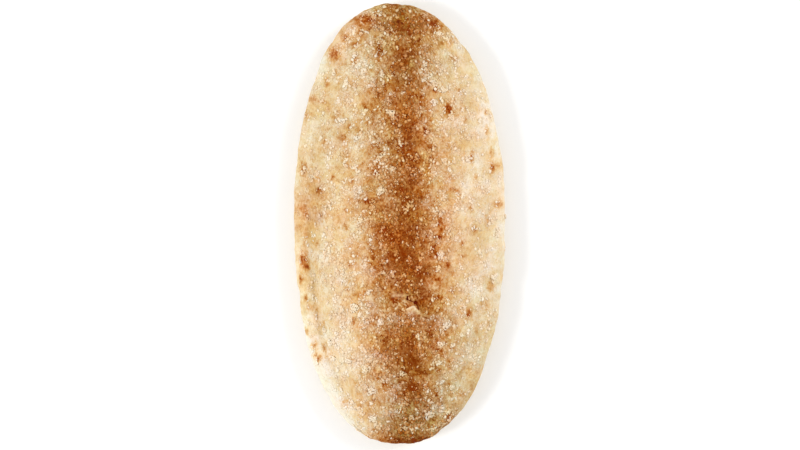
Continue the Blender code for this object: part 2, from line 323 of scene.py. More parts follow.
# Where the crust is baked browner, and with a negative strength paler, than the bands below make it.
# The few along the left groove, near x = -36 mm, are partly painted shade of the groove as well as
# browning.
TOAST_PATCHES = (
    (0.5, 87, 8, 4, 0.1), (-15, 86, 7, 3.5, 0.26), (15, 84.5, 6, 4, 0.2), (2.5, 71, 6, 6, 0.1),
    (-9, 53, 5, 9, 0.06), (4.5, 41, 3, 9, 0.16), (3.5, 14, 5, 8, 0.12), (-13, 9, 5, 6, 0.14),
    (-6, -3.5, 5, 6, 0.36), (9, -3, 6, 8, 0.22), (4.5, -18, 6, 8, 0.28), (-6, -17, 6, 6, 0.2),
    (13.5, -16, 5, 8, 0.14), (11, -31, 6, 7, 0.36), (-4, -50, 5, 9, 0.14), (14, -49, 4, 8, 0.24),
    (6, -63, 5, 9, 0.14), (5.5, -71, 4, 4, 0.16), (-37, 12, 5, 9, 0.14), (19, -82, 9, 6, 0.06),
    (2, -92, 12, 3.5, 0.2), (-3.5, -8.5, 4, 4, 0.22), (2.5, -50, 4, 7, 0.1), (22, -10, 4, 12, 0.08),
    (20, -42, 6, 8, 0.06), (-38, 2, 3, 6, 0.08), (-24, 34, 6, 9, 0.05), (-15, 78, 10, 4, 0.06),
    (-35.5, 3, 3, 6, 0.1), (-21, 24, 6, 7, 0.05), (39, -18, 5, 5, 0.05), (27, -72, 6, 4, 0.06),
    (3, -83, 7, 4, 0.08), (8, -94.5, 6, 2.5, 0.5), (-12, 79, 6, 4, 0.06), (-21, 74, 5, 4, 0.05),
    (-25, 36, 7, 7, 0.04), (-36, 3, 3, 6, 0.05), (-8, 4, 4, 4, 0.1), (10, 40, 4, 4, 0.08),
    (22, 46, 4, 4, 0.1), (15, 20, 5, 6, 0.05), (-4, 30, 3, 5, 0.08), (-1, -22, 5, 5, 0.1),
    (-4, -60, 4, 7, 0.12), (-3, -7.5, 3, 4, 0.12), (-7, 8, 4, 6, 0.06), (-4, 26, 3, 3, 0.08),
    (-20, -26, 8, 3, 0.04), (-2, -50, 2.5, 7, 0.06), (11, -52, 4, 3, 0.07), (13, 40, 4, 4, 0.07),
    (0, 86, 5, 4, 0.1), (-9, 73, 5, 7, 0.05), (20, 62, 4, 5, 0.05), (-25, -4, 5, 5, 0.04),
    (13, 17, 3, 6, 0.06), (14, -40, 4, 4, 0.07), (16, -53, 3, 3, 0.07), (1, 85, 4, 4, 0.12),
    (5, 12, 4, 4, 0.05), (-6, 4, 4, 3, 0.06), (-17, 22, 6, 8, 0.03), (-8.5, 45, 5, 3, -0.1),
    (-13, 34, 5, 5, -0.05), (-17, -5, 4, 6, -0.06), (-14, -52, 5, 3, -0.07), (-36, 66, 4, 12, -0.06),
    (8, 93, 7, 3, -0.14), (-33, 75, 4, 6, -0.05), (-32, 73, 5, 8, -0.05), (-7, 61, 5, 5, -0.06),
    (20, 70, 5, 4, -0.06), (36, 1, 4, 4, -0.08), (33, 17, 5, 7, -0.05), (-11, -8, 4, 6, -0.1),
    (-15, -32, 8, 4, -0.1), (9, -33, 6, 5, -0.12), (5, -65, 5, 4, -0.1), (-13, -83, 6, 4, -0.06),
    (42, -26, 3, 4, -0.08), (-31, -26, 5, 7, -0.04), (4, -37.5, 6, 3.5, -0.24), (2, 79, 9, 2.5, -0.1),
    (-17, 15, 3.5, 5, -0.06), (-8, 15.5, 3, 4, -0.14), (-2, -79, 7, 4, -0.1), (-12.5, 60, 4, 5, -0.1),
    (-1, 32, 3, 4, -0.1), (4, -63, 4, 4, -0.12), (23, -72, 8, 8, -0.08), (-32, 63, 3, 3, -0.06),
    (9, 22, 3, 6, -0.07), (0, 33, 2.5, 2.5, -0.08), (3, -13, 4, 3, -0.08), (5, -63, 4, 3, -0.06),
    (-25, -60, 4, 5, -0.03), (-9, -51, 4, 3, -0.06), (34, 50, 4, 8, -0.03), (0, 32, 3, 4, -0.08),
    (12, -22, 4, 4, -0.06), (6, -41, 3, 3, -0.06), (-9, -18, 3, 4, -0.05),
)
# Where the fine flour lies thicker.
FLOUR_DRIFTS = (
    (-15, 90, 5, 2, 0.9), (2, 86.5, 7, 4, 1.3), (17.5, 80.5, 5, 2.5, 0.8), (13.2, 66, 7, 6, 0.7),
    (-16, 66, 8, 5, 0.6), (26.1, 44.7, 6, 6, 0.5), (-21.4, 44.7, 6, 5, 0.6), (-22, 34, 8, 4, 0.6),
    (-9, 16, 9, 10, 0.5), (32.6, 14.5, 6, 7, 0.8), (-16, -1, 7, 6, 0.7), (-20, -22, 7, 6, 0.5),
    (30, -28, 6, 7, 0.7), (-27, -39.5, 7, 6, 0.8), (-10, -42, 7, 6, 0.7), (10, -46, 6, 4, 0.6),
    (-20.5, -59, 7, 6, 0.7), (24, -52, 6, 6, 0.5), (1, -79, 11, 5, 0.8), (16, -80, 5, 5, 0.7),
    (-13, 59, 5, 7, 0.6), (-9, 36, 6, 7, 0.5), (26, -66, 6, 12, 0.2), (-10, -63, 7, 6, 0.5),
    (4, -88, 12, 4, 0.6), (-34, 64, 6, 14, 0.7), (-38, 26, 5, 12, 0.7), (-20, 72, 7, 5, 0.5),
    (17, 69, 5, 5, 0.6), (-33, -21, 5, 7, 0.6), (38, -30, 5, 12, 0.6), (22, -80, 9, 6, 0.4),
    (-8, -33, 4, 4, 0.5), (-4, -43, 4, 4, 0.6), (-28, -14, 6, 10, 0.6), (-26, 10, 5, 8, 0.5),
    (-26, -54, 6, 6, 0.5),
)
# Where the crust looks rosier, and with a negative strength more olive.
HUE_PATCHES = (
    (-6, 77, 9, 16, -1.2), (12, 72, 10, 12, -0.9), (-3, 94, 14, 4, -0.8), (-18, 66, 16, 10, -0.4),
    (-12, 40, 16, 12, -0.6), (-5, 33.5, 5, 5, -0.6), (-35, 35, 10, 20, -0.4), (-9, 16, 7, 4, -0.5),
    (-36, -12, 4, 22, -0.6), (-8, -30, 6, 8, -0.6), (-3, -42, 4, 4, -0.9), (12.5, -37.5, 5, 4, -0.9),
    (3, 45, 4, 8, 0.8), (4, 25, 3, 9, 0.7), (-3, -5, 5, 5, 1.1), (6, -14, 8, 8, 0.8), (17, -8, 5, 8, 0.6),
    (24, -1, 7, 10, 0.7), (30, 13, 10, 10, 0.6), (37, 45, 6, 12, 0.8), (43, 10, 4, 18, 0.7),
    (30, -20, 10, 12, 0.5), (23.5, 46, 4, 4, 0.4), (4, -47, 4, 5, 0.8), (5.5, -26, 5, 4, 0.5),
    (-33.5, -57, 4, 6, 0.8), (-41, 4, 3, 5, 1), (-41, -16, 3, 5, 1), (-12, -22, 8, 8, 0.5),
    (-5, -8, 4, 4, 1), (4, -18, 5, 4, 0.8), (4, 42, 3, 4, 0.5), (11, -67, 4, 5, 0.9), (2, 72, 4, 5, 0.8),
    (-27, 76, 5, 4, 0.6), (34, 28, 7, 8, 0.5), (-10, 7, 4, 4, 0.5), (-15, -53, 6, 5, 0.4),
    (-24, -44, 7, 12, 0.3), (-31.5, -44, 3, 9, -0.4), (-22, -78, 7, 5, 0.6), (-24, 83, 7, 5, 0.5),
    (18, -70, 14, 12, -1.4), (14, -85, 16, 9, -1.3), (-3, -85, 8, 8, -1), (25, -50, 8, 6, -0.6),
    (5, -60, 8, 7, -0.7), (36, -56, 6, 12, -0.4), (17, 2, 5, 5, 0.4), (20, 33, 6, 10, 0.4),
    (16, -52.5, 4, 4, 0.9), (-17, -40, 5, 4, 0.3), (22, -85, 3, 3.5, 1.2), (-15.5, 87.5, 3.5, 3.5, 1),
    (0, 60, 5, 4, -0.8), (-3, 80, 5, 4, -0.4), (6, 68, 4, 4, -0.5), (-9, -9, 4, 4, -0.5),
    (-2, -67, 5, 4, -0.6), (5, -84, 6, 7, -0.8), (2, 92, 10, 3, -0.9), (8, 59, 6, 4, -0.4),
    (-26, 27, 3, 3, -0.5), (-2, 20, 3, 5, -0.4), (-17, 8, 3, 5, -0.4), (7, -21, 3, 3, -0.4),
    (8, -48, 3, 4, -0.4), (0, -79, 5, 4, -0.7), (30, -33, 6, 3, -0.3), (-28, 72, 5, 3, 0.4),
    (24, 52, 3, 5, 0.3), (8, 38.5, 8, 3, 0.4), (-26, 3, 4, 8, 0.3), (-22, -14, 9, 4, 0.3),
    (22, -18, 8, 5, 0.3), (-36, -46, 2.5, 8, 0.4), (6.8, -36.4, 2.6, 2.2, 0.7), (-9.5, 46, 4, 4, -0.5),
    (0, 31, 3, 3, -0.5), (15, -27, 6, 6, 0.4), (3, -88.5, 7, 4.5, -1.1), (-36.5, -40, 2.5, 8, 0.4),
    (-13, -92, 5, 3, 0.5),
)
# Where a thin veil of flour greys the crust.
VEIL_PATCHES = ((2, -78, 16, 12, 1.3), (-3, -40, 8, 5, 0.8), (3, 66, 12, 8, 0.6))

SPECK_COUNT = 110
SPECK_RADII = (0.0005, 0.0012)
SPOT_REACH = 1.30
CROWN_SPREAD = 0.020  # how much farther out a spot of the high crown looks than it lies
SPECK_STRETCHES = (1.0, 2.0)
SPECK_STRENGTHS = (0.25, 0.70)
SPECK_MAX_SHARE = 0.98
SPECK_CHANCES = (0.2, 0.8, 0.3)  # anywhere, and what the crown and the rim add to it
CROWN_BAND = 0.018
FLANK_SPECK_SHARE = 0.6
FLANK_SPECK_BAND = 0.022
WARP_SIZES = ((0.009, 0.0016), (0.0032, 0.0007))  # size of the waves that ruffle a patch, and their reach

# Waves of noise, each as a strength, a size and a layer.
TOAST_WAVES = ((0.11, 0.0080, 31.7), (0.09, 0.0035, 37.1))
UNDERSIDE_WAVES = ((1.0, 0.013, 91.3), (0.5, 0.005, 95.1))
ROSY_WAVES = ((0.5, 0.0060, 61.0), (0.4, 0.0028, 65.0))
VEIL_WAVES = ((2.2, 0.0075, 101.0), (1.6, 0.0032, 105.0))
FLOUR_WAVES = ((0.50, 0.0090, 51.0), (0.50, 0.0040, 55.0))

# The browning. Each of its soft bands is how far it lies off its line, its half width and its strength.
BASE_TOAST = 0.175
BROWN_LINE_X = 0.0034
BROWN_LINE_SLANT = 0.012
BROWN_BANDS = ((0.0, 0.0062, 0.32), (0.0015, 0.0138, 0.30))
LEFT_BAND = (-0.0090, 0.0070, 0.17)
BULGE_Y = -0.012
BULGE_LENGTH = 0.030
BULGE_SHARE = 0.15
END_WIDENING = 0.40
LEAN_TO_LEFT = 1.3  # how much browner the left is, for each metre
# At the lower end the right flank is browned and the left flank paled: partly real browning, partly
# painted shade on the right and painted light on the left.
LOWER_FLANK_SHADE_AND_TOAST = 0.14
RIM_FADE = 0.007
RIM_PALENESS = 0.05
# The lower left rim is paler still: partly paler crust, partly painted light.
LOWER_LEFT_LIGHT_AND_PALENESS = 0.08

# Where in the plan an effect begins and where it is full.
WIDENED_ENDS = (0.060, 0.095)
LEANING_PART = (0.090, 0.065)
LEFT_BAND_PART = (0.080, 0.060)
LOWER_PART = (-0.025, -0.075)
LOWER_RIM = (0.010, -0.035)
RIGHT_FLANK = (0.004, 0.028)
LEFT_FLANK = (-0.012, -0.032)
LEFT_HALF = (0.0, -0.020)
DUSTED_ENDS = (0.060, 0.090)
DUSTED_BAND = (0.001, 0.024)  # middle and half width
UNDERSIDE_PART = (0.006, 0.018)  # how far inside the outline

UNDERSIDE_TOAST = 0.12
BLOTCH_TOAST = 0.50
BLOTCH_NOISE = (0.02, 0.45)
PALE_VEIL = 0.25
VEILED_TOAST = (0.15, 0.60)
BASE_FLOUR = 0.30
DRIFT_STRENGTH = 0.55


def ruffled(x, y, warps=WARP_SIZES):
    """Shifts places a little, so that patches get ragged edges."""
    for layer, (size, reach) in enumerate(warps):
        x, y = (
            x + reach * wave(x, y, size, 71.0 + layer),
            y + reach * wave(x, y, size, 81.0 + layer),
        )
    return x, y


def patch_over(x, y, patch):
    centre_x, centre_y, half_width, half_height, strength = patch
    across = (x - centre_x * MM) / (half_width * MM)
    along = (y - centre_y * MM) / (half_height * MM)
    return strength * np.exp(-(across**2 + along**2))


def with_patches(value, x, y, patches, share=1.0):
    for patch in patches:
        value = value + share * patch_over(x, y, patch)
    return value


def toast_over(x, y):
    """How brown the top is baked, 0 to 1: a soft band along the crest, in patches, with painted shade on
    the lower right flank and along the left groove, and painted light on the lower left.
    """
    at_rim = bump(inset_of(x, y), RIM_FADE)
    x, y = ruffled(x, y)
    from_middle = np.abs(y)
    off_line = x - BROWN_LINE_X + BROWN_LINE_SLANT * y
    widened = 1 + BULGE_SHARE * bump(y - BULGE_Y, BULGE_LENGTH)
    widened = widened + END_WIDENING * smooth_step(*WIDENED_ENDS, from_middle)
    toast = BASE_TOAST - LEAN_TO_LEFT * x * smooth_step(*LEANING_PART, from_middle)
    for offset, half_width, strength in BROWN_BANDS:
        toast = toast + strength * bump(off_line - offset, half_width * widened)
    offset, half_width, strength = LEFT_BAND
    toast = toast + strength * bump(x - offset, half_width) * smooth_step(*LEFT_BAND_PART, from_middle)
    toast = with_patches(toast, x, y, TOAST_PATCHES)
    # Lower end: painted shade with some browning on the right flank, painted light on the left flank.
    lower_shade_and_toast = LOWER_FLANK_SHADE_AND_TOAST * smooth_step(*LOWER_PART, y)
    toast = toast + lower_shade_and_toast * smooth_step(*RIGHT_FLANK, x)
    toast = toast - lower_shade_and_toast * smooth_step(*LEFT_FLANK, x)
    lower_left = smooth_step(*LOWER_RIM, y) * smooth_step(*LEFT_HALF, x)
    toast = toast - at_rim * (RIM_PALENESS + LOWER_LEFT_LIGHT_AND_PALENESS * lower_left)
    return with_waves(toast, x, y, TOAST_WAVES)


def rosiness_over(x, y):
    """How far the colour leans to rosy, or with a negative value to olive."""
    return with_patches(with_waves(0.0, x, y, ROSY_WAVES), x, y, HUE_PATCHES)


def veil_over(x, y, toast):
    """How far flour greys the crust where it is brown, or with a negative value how golden it stays."""
    veil = with_patches(with_waves(0.0, x, y, VEIL_WAVES), x, y, VEIL_PATCHES)
    return veil * at_least(PALE_VEIL, smooth_step(*VEILED_TOAST, toast))


def toast_under(x, y):
    """Browning of the underside: blotches where the dough met the hot oven floor."""
    x, y = ruffled(x, y)
    blotches = smooth_step(*BLOTCH_NOISE, with_waves(0.0, x, y, UNDERSIDE_WAVES))
    return UNDERSIDE_TOAST + BLOTCH_TOAST * blotches * smooth_step(*UNDERSIDE_PART, inset_of(x, y))


def char_specks():
    """Small spots strewn over the crust, most on its crown and some towards the rim."""
    rng = random.Random(SEED + 1)
    anywhere, on_crown, at_rim = SPECK_CHANCES
    specks = []
    while len(specks) < SPECK_COUNT:
        x = rng.uniform(-WIDTH / 2, WIDTH / 2)
        y = rng.uniform(-LENGTH / 2, LENGTH / 2)
        share = float(share_of(x, y))
        chance = anywhere + on_crown * bump(x, CROWN_BAND) + at_rim * share**4
        if share < SPECK_MAX_SHARE and rng.random() < chance:
            radius = rng.uniform(*SPECK_RADII)
            tall = radius * rng.uniform(*SPECK_STRETCHES)
            strength = rng.uniform(*SPECK_STRENGTHS)
            strength *= at_least(FLANK_SPECK_SHARE, bump(x, FLANK_SPECK_BAND))
            specks.append((x / MM, y / MM, radius / MM, tall / MM, strength))
    return specks


def spots_over(x, y, spots):
    """How scorched the crust is in its spots, 0 to 1."""
    spread = 1 + CROWN_SPREAD * (1 - np.minimum(share_of(x, y), 1.0) ** 4)
    x, y = (spread * place for place in ruffled(x, y, WARP_SIZES[1:]))
    char = np.zeros_like(x)
    for centre_x, centre_y, half_width, half_height, strength in spots:
        spot = (centre_x, centre_y, SPOT_REACH * half_width, SPOT_REACH * half_height, strength)
        char = np.maximum(char, patch_over(x, y, spot))
    return char


def dusting(x, y):
    """How much coarse flour stuck: most along the crest and at the ends, least on the flanks."""
    middle, half_width = DUSTED_BAND
    return np.maximum(bump(x - middle, half_width), smooth_step(*DUSTED_ENDS, np.abs(y)))


def flour_over(x, y):
    """How thickly the fine flour lies, 0 to 1, in patches and drifts."""
    flour = with_waves(BASE_FLOUR, x, y, FLOUR_WAVES)
    return np.clip(with_patches(flour, x, y, FLOUR_DRIFTS, DRIFT_STRENGTH), 0, 1)


# The tear: where it gapes, the line that joins its holes, the ridge above, the lip and torn crumb below.
# The holes and the line that joins them, which runs on along the top of the lip, are coloured dark as
# painted shade.
TEAR_HOLES = ((3.5, -31.4, 0.66, 1.10, 1.0), (6.9, -33.3, 0.95, 0.90, 1.0))
HOLE_EDGE = (0.15, 0.85)
CRACK_PATH = (
    (0.0034, -0.0306), (0.0039, -0.0321), (0.0066, -0.0331), (0.0076, -0.0345), (0.0084, -0.0362),
)
CRACK_WIDTH = 0.00038
CRACK_SHARE = 0.65
RIDGE_PATH = ((-0.0026, -0.0302), (0.0029, -0.0303))
RIDGE_WIDTH = 0.00080
LIP_PATH = (
    (0.0037, -0.0354), (0.0049, -0.0347), (0.0063, -0.0344), (0.0074, -0.0360), (0.0101, -0.0381),
)
LIP_FOOT = (-0.0002, 0.0003)
LIP_CREST = (0.0004, 0.0010)  # how far off the path it lies, and its half width
LIP_END = (0.0085, 0.0050)
RIDGE_PALENESS = 0.5  # how pale the ridge is beside the lip
LIP_SLOPE = (5.6, -36.8, 2.6, 1.7, 0.50)
SMOOTH_SLOPE = (7.5, -39.3, 3.0, 1.8, 0.8)
TORN_CRUMB = (2.7, -33.5, 3.2, 1.8, 1.0)


def along_path(x, y, path):
    """Distance in plan to a path, positive on its right-hand side, and the distance run along it."""
    nearest = np.full_like(x, np.inf)
    side = np.zeros_like(x)
    run = np.zeros_like(x)
    done = 0.0
    for (ax, ay), (bx, by) in zip(path, path[1:]):
        length = math.hypot(bx - ax, by - ay)
        ux, uy = (bx - ax) / length, (by - ay) / length
        ahead = np.clip((x - ax) * ux + (y - ay) * uy, 0, length)
        off_x, off_y = x - ax - ahead * ux, y - ay - ahead * uy
        distance = np.hypot(off_x, off_y)
        closer = distance < nearest
        nearest = np.where(closer, distance, nearest)
        side = np.where(closer, np.sign(off_x * uy - off_y * ux), side)
        run = np.where(closer, done + ahead, run)
        done += length
    return nearest * side, run


def tear_fields(x, y):
    """The tear's gap, its lip, the ridge and the torn crumb, each 0 to 1."""
    holes = np.maximum(*(patch_over(x, y, hole) for hole in TEAR_HOLES))
    crack = bump(along_path(x, y, CRACK_PATH)[0], CRACK_WIDTH)
    gap = np.maximum(smooth_step(*HOLE_EDGE, holes), CRACK_SHARE * crack)
    off_lip, along_lip = along_path(x, y, LIP_PATH)
    crest, half_width = LIP_CREST
    edge = bump(off_lip - crest, half_width) * smooth_step(*LIP_END, along_lip)
    lip = smooth_step(*LIP_FOOT, off_lip) * np.maximum(edge, patch_over(x, y, LIP_SLOPE))
    ridge = bump(along_path(x, y, RIDGE_PATH)[0], RIDGE_WIDTH)
    return gap, lip, ridge, patch_over(x, y, TORN_CRUMB)


# --- The crust piece ---

REFINED_REACH = 0.0085
REFINED_CUTS = 3

# Upward parts of the normal between which a face comes to count as upper or as lower.
UPPER_FACING = (-0.25, 0.30)
LOWER_FACING = (-0.30, -0.90)
SIDE_TOAST = 0.10
UNDERSIDE_HEIGHT = 0.0005


def placed(name, data):
    obj = bpy.data.objects.new(name, data)
    bpy.context.scene.collection.objects.link(obj)
    return obj


def box_cage():
    bm = bmesh.new()
    bmesh.ops.create_cube(bm, size=2.0)
    for axis, cells in enumerate(CELLS):
        along = [e for e in bm.edges if abs((e.verts[0].co - e.verts[1].co)[axis]) > 1.0]
        bmesh.ops.subdivide_edges(bm, edges=along, cuts=cells - 1, use_grid_fill=True)
    bmesh.ops.recalc_face_normals(bm, faces=bm.faces)
    return bm


def evened(corners):
    """Directions to the box's corner points, spread so that the cells come out alike in size."""
    spread = np.tan(corners * math.pi / 4)
    return spread / np.linalg.norm(spread, axis=1)[:, None]


def refine_near_tear(bm):
    """Cuts the cage finer where the tear will be."""
    points = skin_points(evened(np.array([v.co for v in bm.verts])))
    middle = TEAR_PATH[1]
    near = np.hypot(points[:, 0] - middle[0], points[:, 1] - middle[1]) < REFINED_REACH
    near &= points[:, 2] > THICKNESS / 2
    edges = [e for e in bm.edges if near[e.verts[0].index] and near[e.verts[1].index]]
    bmesh.ops.subdivide_edges(bm, edges=edges, cuts=REFINED_CUTS, use_grid_fill=True)
    bmesh.ops.triangulate(bm, faces=[f for f in bm.faces if len(f.verts) > 4])


def values_of(items, name, width=3):
    values = np.zeros(len(items) * width)
    items.foreach_get(name, values)
    return values.reshape(-1, width)


def set_vertices(mesh, points):
    mesh.vertices.foreach_set("co", points.astype(np.float32).ravel())
    mesh.update()


def store_fields(mesh, fields):
    """Keeps numbers for each point of a mesh, for its material to read."""
    for name, values in fields.items():
        attribute = mesh.attributes.new(name, "FLOAT", "POINT")
        attribute.data.foreach_set("value", values.astype(np.float32))


def grit_of(points):
    """The crumbly grain of the floured crust: under 0.5 in its pits, above it on its ridges."""
    layers = [ridged(points, size, 20.0 * layer) for layer, size in enumerate(GRIT_SIZES)]
    coarse = at_least(SMOOTHEST_GRIT, dusting(points[:, 0], points[:, 1]))
    return 0.5 + coarse * (sum(layers) / len(layers) - 0.5)


def relief(points, char, grit):
    """Height of the fine surface over the plain form, along its normal."""
    height = np.zeros(len(points))
    for layer, (size, rise) in enumerate(WRINKLES):
        height += rise * wave_in(points, size, 7 * layer)
    near_rim = bump(inset_of(points[:, 0], points[:, 1]), PLEAT_REACH)
    height += PLEAT_HEIGHT * near_rim * wave_in(points, PLEAT_SIZES, 40)
    height -= PORE_DEPTH * smooth_step(*PORE_NOISE, wave_in(points, PORE_SIZE, 60))
    return height + GRIT_HEIGHT * (grit - 0.5) + BLISTER_HEIGHT * char


def crust():
    bm = box_cage()
    refine_near_tear(bm)
    mesh = bpy.data.meshes.new("baked_crust")
    bm.to_mesh(mesh)
    bm.free()
    points = skin_points(evened(values_of(mesh.vertices, "co")))
    set_vertices(mesh, points)
    normals = values_of(mesh.vertices, "normal")

    x, y = points[:, 0], points[:, 1]
    upper = smooth_step(*UPPER_FACING, normals[:, 2])
    lower = smooth_step(*LOWER_FACING, normals[:, 2])
    char = spots_over(x, y, (*CHAR_SPOTS, *char_specks())) * upper
    toast = SIDE_TOAST + (toast_over(x, y) - SIDE_TOAST) * upper
    toast = toast + (toast_under(x, y) - SIDE_TOAST) * lower
    gap, lip, ridge, torn = (field * upper for field in tear_fields(x, y))

    grit = grit_of(points)
    raised = relief(points, char, grit)
    raised = np.where(points[:, 2] < UNDERSIDE_HEIGHT, -np.abs(raised), raised)
    crumbly = TORN_ROUGHNESS * torn * (2 * grit - 1)
    raised += LIP_RISE * lip + RIDGE_RISE * ridge + crumbly - TEAR_DEPTH * gap
    points = points + normals * raised[:, None]
    points[:, 2] = np.maximum(points[:, 2], 0.0)
    for axis in (0, 1):
        points[:, axis] -= (points[:, axis].min() + points[:, axis].max()) / 2
    set_vertices(mesh, points)

    fields = {"toast": toast, "char": char, "flour": flour_over(x, y), "grit": grit}
    # The groove's depth, which the crust's material uses as the mask for painted shade in the groove
    fields["furrow"] = furrow_over(x, y) * upper
    fields |= {"gap": gap, "lip": np.maximum(lip, RIDGE_PALENESS * ridge), "torn": torn}
    fields |= {"rosy": rosiness_over(x, y) * upper, "veil": veil_over(x, y, toast) * upper}
    store_fields(mesh, fields)
    mesh.shade_smooth()
    return placed("pita_crust", mesh)


# --- Flour ---

# How bare the lesser bare places are: the ridge, the torn crumb, the scorched spots and the groove.
RIDGE_BARENESS = 0.7
TORN_BARENESS = 0.8
SPOT_BARENESS = 0.85
BARE_CHAR = (0.45, 0.90)
GROOVE_BARENESS = 0.4
BARE = 0.5  # how bare a place is where no grain is kept

STEEP_DUST = 0.02
DUSTED_FACING = (0.40, 0.90)
LOWEST_DUST = 0.001
FLANK_DUST = 0.28
THIN_DUST = 0.16
DRIFT_DUST = 1.4
DRIFT_POWER = 1.7
EVEN_THICKNESS = 0.75

# The two grades of loose grains: how many, how long, how pale at most, how evenly they lie, and a seed.
FLOUR_GRADES = {
    "coarse_flour": (6400, (0.00075, 0.00190), 1.0, 0.0, 1),
    "fine_flour": (9800, (0.00040, 0.00085), 0.85, 0.65, 2),
}
LENGTH_POWER = 1.6
GRAIN_WIDTHS = (0.38, 0.85)
GRAIN_HEIGHTS = (0.35, 0.70)
GRAIN_SUNK_SHARE = 0.30
GROUP_SIZE = 3.0
GROUP_REACH = (0.0007, 0.0010, 0.0004)
GROUP_SHADE_SHARE = 0.6  # how much of a grain's shade it has from its group
TURN_SPREAD = 0.60
SIDEWAYS = 0.9  # how far a normal may lean along X before Y serves to turn the grain's axes
# How much browner a grain's foot is than the crust around it: painted warm shade where the grain meets
# the crust.
GRAIN_FOOT_SHADE = 0.14
ROUGHNESS = 0.30
# A grain's top is lighter and its foot takes the crust's colour: partly flour sunk into the crust, partly
# painted light on top and painted shade at the foot.
FOOT_AND_TOP = (0.15, 0.80)  # heights between which a grain's colour passes from the crust's to its own
CLUMP_FOOT_AND_TOP = (-0.40, 0.40)

CLUMP_WIDTHS = (0.6, 0.95)
CLUMP_CORNERS = 12
CLUMP_CORNER_SPREAD = (0.88, 1.12)
CLUMP_SHADES = (0.20, 0.90)
LUMP_SHARES = (0.75, 0.75, 0.9)  # of a clump's length, width and height
SMALL_CLUMP_COUNT = 150
SMALL_CLUMP_LENGTHS = (0.0009, 0.0018)
SMALL_CLUMP_WIDTH = 0.8
SMALL_CLUMP_HEIGHT = 0.5
CLUMPS_SEED = 5
CRUMBS_PER_AREA = 6.0e6
CRUMB_SIZES = (0.00055, 0.00115)
CRUMB_WIDTHS = (0.5, 1.0)
CRUMB_HEIGHT = 0.7
CRUMB_LIFTS = (0.1, 0.8)
CRUMB_SUNK_SHARE = 0.25
CLUMP_REACH = (1.15, 0.35)  # how far its crumbs reach, and how much that varies around it

